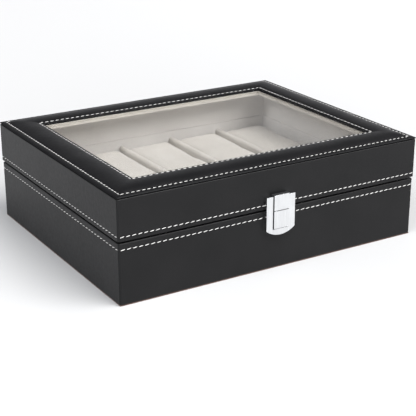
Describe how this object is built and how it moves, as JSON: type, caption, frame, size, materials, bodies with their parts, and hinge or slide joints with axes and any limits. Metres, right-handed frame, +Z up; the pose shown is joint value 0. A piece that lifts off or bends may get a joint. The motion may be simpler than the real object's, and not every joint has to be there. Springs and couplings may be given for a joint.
{
  "type": "watch box",
  "caption": "Leatherette watch box with a hinged padded lid, glass window, push-button lock and velvet slots with removable pillows.",
  "frame": {"origin": "middle of the underside of the base, on the surface it stands on", "axes": "+X along the front to the right, +Y from the front with the lock to the hinged back, +Z up"},
  "size_m": [0.2512, 0.2049, 0.08],
  "materials": {
    "leatherette": "black grained leatherette, satin",
    "felt": "brown felt",
    "lining_velvet": "light grey-beige velvet",
    "pillow_velvet": "cream velvet",
    "foam": "soft polyurethane foam",
    "glass": "clear float glass",
    "chrome": "mirror polished",
    "steel": "bright zinc",
    "card": "grey board",
    "board": "fibreboard",
    "thread": "off-white sewing thread"
  },
  "bodies": {
    "base": {"underside_felt": "felt", "base_board": "board", "base_front_wall": "board", "base_back_wall": "board", "base_left_wall": "board", "base_right_wall": "board", "base_wrap": "leatherette", "base_side_lining": "lining_velvet", "floor_lining": "lining_velvet", "lengthwise_divider": "lining_velvet", "cross_divider_1": "lining_velvet", "cross_divider_2": "lining_velvet", "cross_divider_3": "lining_velvet", "cross_divider_4": "lining_velvet", "lock_frame": "chrome", "catch_spring": "steel", "catch_screw": "steel", "left_hinge_base_leaf": "steel", "left_hinge_pin": "steel", "right_hinge_base_leaf": "steel", "right_hinge_pin": "steel", "hinge_base_screws": "steel"},
    "lid": {"lid_front_rail": "board", "lid_back_rail": "board", "lid_left_rail": "board", "lid_right_rail": "board", "lid_wrap": "leatherette", "lid_side_lining": "lining_velvet", "glass_pane": "glass", "glass_frame": "board", "glass_frame_lining": "lining_velvet", "top_board": "card", "top_padding": "foam", "top_cover": "leatherette", "lock_tongue": "chrome", "tongue_screws": "steel", "left_hinge_lid_leaf": "steel", "right_hinge_lid_leaf": "steel", "hinge_lid_screws": "steel"},
    "lock_button": {"lock_button": "chrome"},
    "pillow_front_1": {"pillow_front_1": "pillow_velvet", "pillow_core_front_1": "foam"},
    "pillow_front_2": {"pillow_front_2": "pillow_velvet", "pillow_core_front_2": "foam"},
    "pillow_front_3": {"pillow_front_3": "pillow_velvet", "pillow_core_front_3": "foam"},
    "pillow_front_4": {"pillow_front_4": "pillow_velvet", "pillow_core_front_4": "foam"},
    "pillow_front_5": {"pillow_front_5": "pillow_velvet", "pillow_core_front_5": "foam"},
    "pillow_back_1": {"pillow_back_1": "pillow_velvet", "pillow_core_back_1": "foam"},
    "pillow_back_2": {"pillow_back_2": "pillow_velvet", "pillow_core_back_2": "foam"},
    "pillow_back_3": {"pillow_back_3": "pillow_velvet", "pillow_core_back_3": "foam"},
    "pillow_back_4": {"pillow_back_4": "pillow_velvet", "pillow_core_back_4": "foam"},
    "pillow_back_5": {"pillow_back_5": "pillow_velvet", "pillow_core_back_5": "foam"}
  },
  "joints": [
    {"name": "lid_hinge", "type": "hinge", "parent": "base", "child": "lid", "pos_m": [0, 0.0982, 0.0457], "axis": [-1, 0, 0], "range_deg": [0, 95]},
    {"name": "lock_button_push", "type": "slide", "parent": "base", "child": "lock_button", "axis": [0, 1, 0], "range_m": [0, 0.0015], "stiffness_N_per_m": 500, "springref_m": -0.0008, "deforming": ["catch_spring"]},
    {"name": "pillow_front_1_lift", "type": "slide", "parent": "base", "child": "pillow_front_1", "axis": [0, 0, 1], "range_m": [0, 0.029]},
    {"name": "pillow_front_2_lift", "type": "slide", "parent": "base", "child": "pillow_front_2", "axis": [0, 0, 1], "range_m": [0, 0.029]},
    {"name": "pillow_front_3_lift", "type": "slide", "parent": "base", "child": "pillow_front_3", "axis": [0, 0, 1], "range_m": [0, 0.029]},
    {"name": "pillow_front_4_lift", "type": "slide", "parent": "base", "child": "pillow_front_4", "axis": [0, 0, 1], "range_m": [0, 0.029]},
    {"name": "pillow_front_5_lift", "type": "slide", "parent": "base", "child": "pillow_front_5", "axis": [0, 0, 1], "range_m": [0, 0.029]},
    {"name": "pillow_back_1_lift", "type": "slide", "parent": "base", "child": "pillow_back_1", "axis": [0, 0, 1], "range_m": [0, 0.029]},
    {"name": "pillow_back_2_lift", "type": "slide", "parent": "base", "child": "pillow_back_2", "axis": [0, 0, 1], "range_m": [0, 0.029]},
    {"name": "pillow_back_3_lift", "type": "slide", "parent": "base", "child": "pillow_back_3", "axis": [0, 0, 1], "range_m": [0, 0.029]},
    {"name": "pillow_back_4_lift", "type": "slide", "parent": "base", "child": "pillow_back_4", "axis": [0, 0, 1], "range_m": [0, 0.029]},
    {"name": "pillow_back_5_lift", "type": "slide", "parent": "base", "child": "pillow_back_5", "axis": [0, 0, 1], "range_m": [0, 0.029]}
  ]
}
